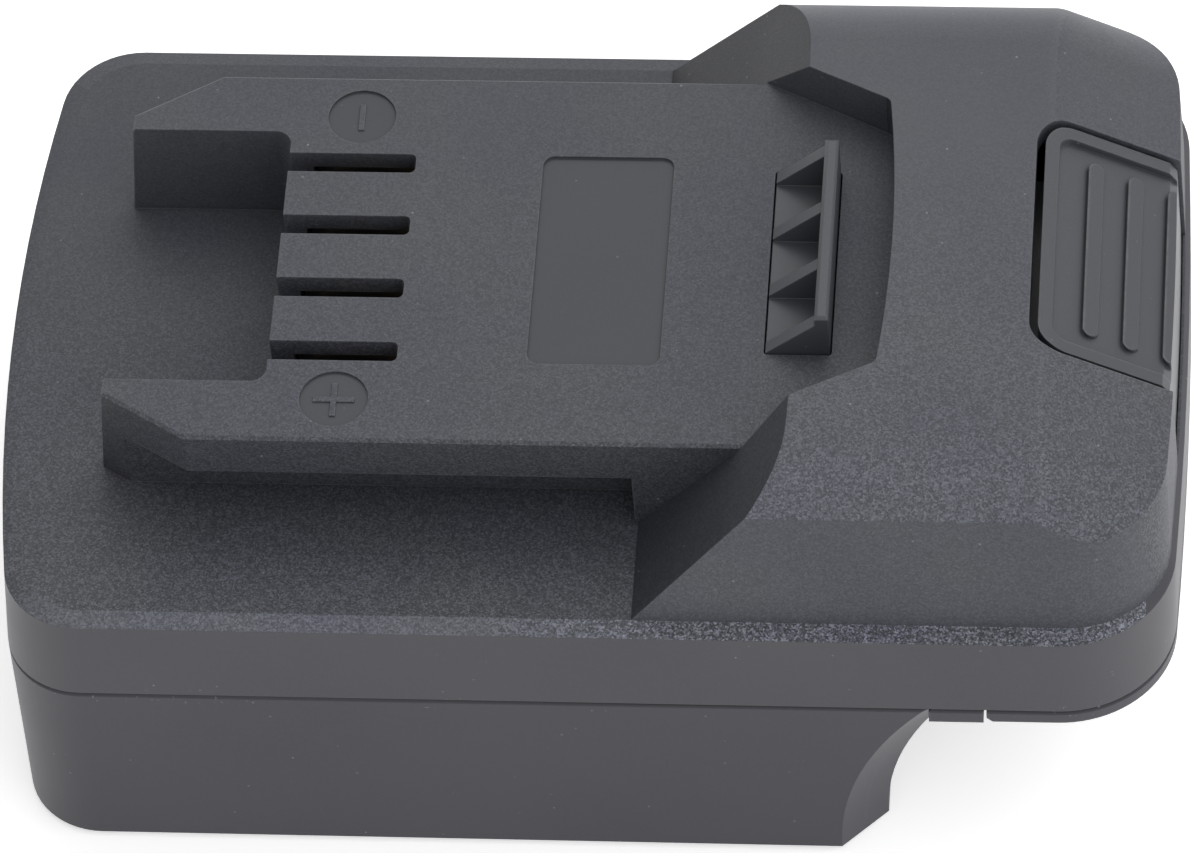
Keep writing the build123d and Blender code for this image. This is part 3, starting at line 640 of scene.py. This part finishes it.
class ADAPTER_OT_lower_shell(bpy.types.Operator):
    """Lower shell and the cover under the button end"""
    bl_idname = "adapter.lower_shell"
    bl_label = "Lower shell and cover"

    def execute(self, context):
        colour = tinted(finish().shell_colour, 0.71, 0.67, 0.76)
        satin = satin_plastic("shell_satin", colour, seam=True)
        dress("lower_shell", "shell_lower", "case", (satin,))
        dress("latch_cover", "cover_under_button", "case", (satin,))
        return {"FINISHED"}


class ADAPTER_OT_latch(bpy.types.Operator):
    """Hook and release button, which go down together"""
    bl_idname = "adapter.latch"
    bl_label = "Latch"

    def execute(self, context):
        colour = finish().latch_colour
        hook = satin_plastic("hook_satin", scaled(colour, 1.15), roughness=0.38, corner_shade=0.1)
        dress("latch_hook", "hook", "latch", (hook,))
        button = satin_plastic("button_satin", colour, roughness=0.44)
        dress("release_button", "button", "latch", (button,))
        return {"FINISHED"}


class ADAPTER_OT_terminals(bpy.types.Operator):
    """Insulating holder and block with their clips and blades"""
    bl_idname = "adapter.terminals"
    bl_label = "Terminals"

    def execute(self, context):
        insulator = satin_plastic(
            "insulator_satin", finish().insulator_colour, roughness=0.5, wear_and_highlight=0.2, dust=0.2)
        brass = drawn_metal("contact_brass", finish().contact_colour, roughness=0.28)
        pieces = [
            ("tool_terminal_holder", "clip_holder", "terminal_plastic", insulator, 0.00015),
            ("battery_terminal_block", "blade_block", "terminal_plastic", insulator, 0.0002),
        ]
        for pole in POLES:
            pieces += [
                (f"tool_clip_{pole}", f"clip_{pole}", "contact_metal", brass, 0.00008),
                (f"battery_blade_{pole}", f"blade_{pole}", "contact_metal", brass, 0.0001),
            ]
        for node, name, slot, material, rounding in pieces:
            softened(node, name, "case", material, rounding)
        return {"FINISHED"}


class ADAPTER_OT_springs(bpy.types.Operator):
    """Coil springs under the latch, with closed ends"""
    bl_idname = "adapter.springs"
    bl_label = "Latch springs"

    def execute(self, context):
        wire = drawn_metal("spring_steel", finish().steel_colour, roughness=0.26)
        for side in ("near", "far"):
            node = f"latch_spring_{side}"
            low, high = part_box(node)
            piece = self.coil(f"spring_{side}", low, high)
            even_shading(piece)
            put_in_place(piece, "case", (wire,), node)
            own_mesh(piece)
        return {"FINISHED"}

    def coil(self, name, low, high):
        """Round wire that fills a box: a closed turn, the open coils and a closed turn."""
        wire_sides, steps_per_turn = 10, 32
        closed_turns, closed_pitch = 0.8, 2.05
        wire = hardware().wire_radius
        radius = (high.x - low.x) / 2 - wire
        middle = Vector(((low.x + high.x) / 2, (low.y + high.y) / 2, 0))
        closed_rise = closed_turns * wire * closed_pitch
        open_rise = high.z - low.z - 2 * wire - 2 * closed_rise
        closed = (closed_turns, closed_rise)
        work = bmesh.new()
        ring = bmesh.ops.create_circle(work, cap_ends=True, segments=wire_sides, radius=wire)
        upright = Matrix.Rotation(pi / 2, 3, "X")
        bmesh.ops.rotate(work, verts=ring["verts"], cent=(0, 0, 0), matrix=upright)
        start = middle + Vector((radius, 0, low.z + wire))
        bmesh.ops.translate(work, verts=ring["verts"], vec=start)
        end = work.verts[:] + work.edges[:] + work.faces[:]
        for turns, rise in (closed, (hardware().coil_count, open_rise), closed):
            steps = round(turns * steps_per_turn)
            made = bmesh.ops.spin(
                work, geom=end, cent=middle, axis=(0, 0, 1), dvec=(0, 0, rise / steps),
                angle=turns * 2 * pi, steps=steps, use_duplicate=False)
            end = made["geom_last"]
        drop_inner_sections(work, wire_sides)
        bmesh.ops.recalc_face_normals(work, faces=work.faces[:])
        return mesh_piece(work, name, radians(50))


class ScrewSize(NamedTuple):
    """Radius over the thread, and radius and height of the head, in metres."""
    radius: float
    head_radius: float
    head_height: float


LARGE_SCREW = ScrewSize(radius=0.0015, head_radius=0.0028, head_height=0.002)
SMALL_SCREW = ScrewSize(radius=0.0011, head_radius=0.0021, head_height=0.0015)


class ADAPTER_OT_screws(bpy.types.Operator):
    """Thread-forming screws with a six-lobed socket"""
    bl_idname = "adapter.screws"
    bl_label = "Screws"

    def execute(self, context):
        zinc = drawn_metal("zinc_steel", finish().steel_colour, roughness=0.34)
        self.group("case_screws", 4, LARGE_SCREW, zinc)
        self.group("cover_screws", 2, SMALL_SCREW, zinc)
        self.group("holder_screws", 2, SMALL_SCREW, zinc)
        self.group("terminal_block_screws", 2, SMALL_SCREW, zinc, tip_up=False)
        return {"FINISHED"}

    def group(self, node, count, size, material, tip_up=True):
        """All screws of a node, as one piece."""
        low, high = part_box(node)
        one = self.screw(high.z - low.z - size.head_height, size)
        seat = low.z + size.head_height if tip_up else high.z - size.head_height
        work = bmesh.new()
        for x, y in self.centres(node, count):
            before = set(work.verts)
            work.from_mesh(one)
            fresh = [vertex for vertex in work.verts if vertex not in before]
            if not tip_up:
                half_turn = Matrix.Rotation(pi, 3, "X")
                bmesh.ops.rotate(work, verts=fresh, cent=(0, 0, 0), matrix=half_turn)
            bmesh.ops.translate(work, verts=fresh, vec=(x, y, seat))
        bpy.data.meshes.remove(one)
        piece = mesh_piece(work, f"{node}_threaded", radians(35))
        even_shading(piece)
        put_in_place(piece, "case", (material,), node)

    def centres(self, node, count):
        """Middle of each separate screw in a node, from its own vertices."""
        work = solid_copy(node)
        waiting = set(work.verts)
        found = []
        while waiting:
            first = waiting.pop()
            group = {first}
            rim = [first]
            while rim:
                vertex = rim.pop()
                for link in vertex.link_edges:
                    other = link.other_vert(vertex)
                    if other in waiting:
                        waiting.remove(other)
                        group.add(other)
                        rim.append(other)
            xs = [vertex.co.x for vertex in group]
            ys = [vertex.co.y for vertex in group]
            found.append(((min(xs) + max(xs)) / 2, (min(ys) + max(ys)) / 2))
        work.free()
        if len(found) != count:
            raise RuntimeError(f"{node} has {len(found)} screws, not {count}")
        return found

    def screw(self, length, size):
        """Mesh of one screw with its tip up and the underside of its head at zero."""
        radius, head_radius, head_height = size
        sides, lobes, lobe_depth = 24, 6, 0.12
        socket_depth = 0.45 * head_height
        socket = 0.5 * head_radius
        soft = 0.22 * head_height
        tip = 1.6 * radius
        core = radius * hardware().core_share
        outline = [
            (0, -socket_depth),
            (socket, -socket_depth),
            (socket, -head_height),
            (head_radius - 2.2 * soft, -head_height),
            (head_radius - 0.7 * soft, -head_height + 0.5 * soft),
            (head_radius, -head_height + 1.6 * soft),
            (head_radius, -0.2 * soft),
            (head_radius - 0.2 * soft, 0),
            (core, 0),
            (core, length - tip),
            (0.15 * radius, length),
            (0, length),
        ]
        work = bmesh.new()
        points = [work.verts.new((x, 0, z)) for x, z in outline]
        lines = [work.edges.new(pair) for pair in zip(points, points[1:])]
        bmesh.ops.spin(
            work, geom=points + lines, cent=(0, 0, 0), axis=(0, 0, 1), angle=2 * pi,
            steps=sides, use_merge=True, use_duplicate=False)
        bmesh.ops.remove_doubles(work, verts=work.verts[:], dist=MERGE)
        for vertex in work.verts:
            reach = Vector((vertex.co.x, vertex.co.y)).length
            if abs(reach - socket) < MERGE and vertex.co.z < -0.3 * head_height:
                turn = atan2(vertex.co.y, vertex.co.x)
                lobe = 1 - lobe_depth + lobe_depth * cos(lobes * turn)
                vertex.co.x *= lobe
                vertex.co.y *= lobe
        bmesh.ops.recalc_face_normals(work, faces=work.faces[:])
        self.thread(work, length - tip, radius, core)
        mesh = bpy.data.meshes.new("one_screw")
        work.to_mesh(mesh)
        work.free()
        return mesh

    def thread(self, work, end, radius, core):
        """Ridge that winds round the core, from the head to the given end."""
        steps_per_turn = 16
        pitch = 2 * radius * hardware().thread_pitch_share
        margin = 0.6 * pitch
        foot, crest = 0.24 * pitch, 0.03 * pitch
        root = 0.96 * core
        turns = (end - 2 * margin) / pitch
        steps = round(turns * steps_per_turn)
        before = set(work.faces)
        corners = [
            (root, margin - foot), (radius, margin - crest),
            (radius, margin + crest), (root, margin + foot)]
        points = [work.verts.new((x, 0, z)) for x, z in corners]
        cap = work.faces.new(points)
        made = bmesh.ops.spin(
            work, geom=points + cap.edges[:] + [cap], cent=(0, 0, 0), axis=(0, 0, 1),
            dvec=(0, 0, turns * pitch / steps), angle=turns * 2 * pi, steps=steps,
            use_duplicate=False)
        ends = {cap, *self.only_faces(made["geom_last"])}
        fresh = [face for face in work.faces if face not in before]
        inner = [face for face in fresh if face not in ends and self.is_section(face)]
        bmesh.ops.delete(work, geom=inner, context="FACES_ONLY")
        fresh = [face for face in work.faces if face not in before]
        bmesh.ops.recalc_face_normals(work, faces=fresh)

    def only_faces(self, geometry):
        return [item for item in geometry if isinstance(item, bmesh.types.BMFace)]

    def is_section(self, face):
        """True for a cross-section left inside the ridge, which has one angle round the core."""
        same_angle = 0.0001
        angles = [atan2(vertex.co.y, vertex.co.x) for vertex in face.verts]
        return max(angles) - min(angles) < same_angle


LEAD_SLOTS = {
    "positive": "lead_red",
    "negative": "lead_black",
    "signal_a": "lead_white",
    "signal_b": "lead_white",
}


class ADAPTER_OT_leads(bpy.types.Operator):
    """Insulated leads between the blades and the clips"""
    bl_idname = "adapter.leads"
    bl_label = "Leads"

    def execute(self, context):
        colours = {
            "lead_red": finish().positive_colour,
            "lead_black": finish().negative_colour,
            "lead_white": finish().signal_colour,
        }
        for pole, slot in LEAD_SLOTS.items():
            node = f"lead_{pole}"
            sleeve = sleeve_rubber(f"sleeve_{pole}", colours[slot])
            piece = self.tube(f"{node}_sleeve", *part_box(node))
            even_shading(piece)
            put_in_place(piece, "case", (sleeve,), node)
        return {"FINISHED"}

    def tube(self, name, low, high):
        """Sleeve that rises, runs across and rises again, with two round bends."""
        sleeve_sides, bend_steps = 20, 10
        radius = (high.y - low.y) / 2
        bend = max(hardware().lead_bend, 1.5 * radius)
        start = Vector((low.x + radius, (low.y + high.y) / 2, low.z))
        across = high.x - low.x - 2 * radius
        up = high.z - low.z
        lean = self.lean(across, up, bend)
        run = Vector((sin(lean), 0, cos(lean))) * self.straight(across, bend, lean)
        work = bmesh.new()
        ring = bmesh.ops.create_circle(work, cap_ends=True, segments=sleeve_sides, radius=radius)
        bmesh.ops.translate(work, verts=ring["verts"], vec=start)
        end = work.verts[:] + work.edges[:] + work.faces[:]
        first_centre = start + Vector((bend, 0, 0))
        made = bmesh.ops.spin(
            work, geom=end, cent=first_centre, axis=(0, 1, 0), angle=lean, steps=bend_steps,
            use_duplicate=False)
        end = self.carried(work, made["geom_last"], run)
        last_centre = start + Vector((across - bend, 0, up))
        bmesh.ops.spin(
            work, geom=end, cent=last_centre, axis=(0, 1, 0), angle=-lean, steps=bend_steps,
            use_duplicate=False)
        drop_inner_sections(work, sleeve_sides)
        bmesh.ops.remove_doubles(work, verts=work.verts[:], dist=MERGE)
        bmesh.ops.recalc_face_normals(work, faces=work.faces[:])
        return mesh_piece(work, name, radians(60))

    def straight(self, across, bend, lean):
        """Length of the straight run between two bends that lean over by an angle."""
        return (across - 2 * bend * (1 - cos(lean))) / sin(lean)

    def lean(self, across, up, bend):
        """Angle from upright at which two equal bends and a straight run meet both ends."""
        halvings = 40
        low, high = 0.1, pi / 2 - 0.01
        for _ in range(halvings):
            middle = (low + high) / 2
            rise = 2 * bend * sin(middle) + self.straight(across, bend, middle) * cos(middle)
            if rise > up:
                low = middle
            else:
                high = middle
        return middle

    def carried(self, work, geometry, move):
        """Last ring carried on in a straight run."""
        edges = [item for item in geometry if isinstance(item, bmesh.types.BMEdge)]
        made = bmesh.ops.extrude_edge_only(work, edges=edges)["geom"]
        verts = [item for item in made if isinstance(item, bmesh.types.BMVert)]
        bmesh.ops.translate(work, verts=verts, vec=move)
        ring = [
            item for item in made if isinstance(item, bmesh.types.BMEdge)
            and all(vertex in verts for vertex in item.verts)]
        cap = bmesh.ops.contextual_create(work, geom=ring)["faces"]
        return verts + ring + cap


def white_to_camera(tree, shown, lit):
    """Colour that the camera and every reflection show, and another that lights the adapter."""
    rays = tree.nodes.new("ShaderNodeLightPath").outputs
    seen = calculated(tree, "MAXIMUM", rays["Is Camera Ray"], rays["Is Transmission Ray"])
    seen = calculated(tree, "MAXIMUM", seen, rays["Is Glossy Ray"])
    return mixed(tree, seen, lit, shown)


class ADAPTER_OT_studio(bpy.types.Operator):
    """Floor, soft light, background and camera"""
    bl_idname = "adapter.studio"
    bl_label = "Studio"

    def execute(self, context):
        self.floor()
        self.world(context)
        self.lamp(context)
        self.camera(context)
        return {"FINISHED"}

    def floor(self):
        """White floor just under the adapter, so that the two don't share a plane."""
        reach, gap, glow_strength = 3.0, 0.00005, 0.5
        work = bmesh.new()
        bmesh.ops.create_grid(work, x_segments=1, y_segments=1, size=reach)
        bmesh.ops.translate(work, verts=work.verts[:], vec=(0, 0, -gap))
        ground = mesh_piece(work, "studio_floor")
        material, tree, shader = new_material("floor_white")
        colour = white_to_camera(tree, WHITE, studio().floor_colour)
        feed(tree, shader.inputs["Base Color"], colour)
        feed(tree, shader.inputs["Emission Color"], white_to_camera(tree, WHITE, BLACK))
        shader.inputs["Emission Strength"].default_value = glow_strength
        shader.inputs["Roughness"].default_value = 1.0
        shader.inputs["Specular IOR Level"].default_value = 0.0
        ground.data.materials.append(material)

    def world(self, context):
        """Even light from all round, weaker from the terminal end's side."""
        dark_from, bright_from = -0.7, 0.3
        world = bpy.data.worlds.new("studio_room")
        world.use_nodes = True
        tree = world.node_tree
        background = next(node for node in tree.nodes if node.type == "BACKGROUND")
        direction = tree.nodes.new("ShaderNodeTexCoord").outputs["Generated"]
        level = remap(
            tree, along(tree, direction, "X"), dark_from, bright_from,
            studio().shade_side, studio().room_light)
        shown = white_to_camera(tree, WHITE, grey(tree, level))
        feed(tree, background.inputs["Color"], shown)
        context.scene.world = world

    def lamp(self, context):
        """Large panel overhead, behind the adapter."""
        aim = Vector((0, 0, 0.03))
        data = bpy.data.lights.new("overhead_panel", "AREA")
        data.shape = "RECTANGLE"
        data.size = 1.4
        data.size_y = 1.0
        data.energy = studio().key_light
        lamp = bpy.data.objects.new("overhead_panel", data)
        lamp.location = (0.35, 0.75, 1.4)
        lamp.rotation_euler = (aim - lamp.location).to_track_quat("-Z", "Y").to_euler()
        context.scene.collection.objects.link(lamp)

    def camera(self, context):
        """Camera at the photograph's viewing angle."""
        look = studio()
        data = bpy.data.cameras.new("photo_camera")
        data.sensor_width = 36.0
        data.lens = look.lens
        data.clip_start = 0.05
        data.clip_end = 20.0
        yaw, pitch, roll = look.azimuth, look.elevation, look.roll
        back = Vector((sin(yaw) * cos(pitch), -cos(yaw) * cos(pitch), sin(pitch)))
        level = Vector((cos(yaw), sin(yaw), 0))
        upright = back.cross(level)
        right = cos(roll) * level + sin(roll) * upright
        up = cos(roll) * upright - sin(roll) * level
        camera = bpy.data.objects.new("photo_camera", data)
        turn = Matrix((right, up, back)).transposed().to_4x4()
        place = Matrix.Translation(Vector(look.target) + back * look.distance)
        camera.matrix_world = place @ turn
        context.scene.collection.objects.link(camera)
        context.scene.camera = camera


OPERATORS = (
    ADAPTER_OT_top_shell,
    ADAPTER_OT_lower_shell,
    ADAPTER_OT_latch,
    ADAPTER_OT_terminals,
    ADAPTER_OT_springs,
    ADAPTER_OT_screws,
    ADAPTER_OT_leads,
    ADAPTER_OT_studio,
)


class ADAPTER_PT_pieces(bpy.types.Panel):
    """Pieces of the adapter and its studio"""
    bl_idname = "ADAPTER_PT_pieces"
    bl_label = "Battery adapter"
    bl_space_type = "VIEW_3D"
    bl_region_type = "UI"
    bl_category = "Adapter"

    def draw(self, context):
        for operator in OPERATORS:
            self.layout.operator(operator.bl_idname)
        for group in (finish(), hardware(), studio()):
            for name in group.__annotations__:
                self.layout.prop(group, name)


CLASSES = (AdapterFinish, AdapterHardware, AdapterStudio, *OPERATORS, ADAPTER_PT_pieces)


def register():
    for kind in CLASSES:
        bpy.utils.register_class(kind)
    bpy.types.Scene.adapter_finish = PointerProperty(type=AdapterFinish)
    bpy.types.Scene.adapter_hardware = PointerProperty(type=AdapterHardware)
    bpy.types.Scene.adapter_studio = PointerProperty(type=AdapterStudio)


def unregister():
    del bpy.types.Scene.adapter_studio
    del bpy.types.Scene.adapter_hardware
    del bpy.types.Scene.adapter_finish
    for kind in reversed(CLASSES):
        bpy.utils.unregister_class(kind)


def main():
    register()
    bpy.context.scene.view_settings.view_transform = "Standard"
    for operator in OPERATORS:
        family, name = operator.bl_idname.split(".")
        getattr(getattr(bpy.ops, family), name)()


if __name__ == "__main__":
    main()
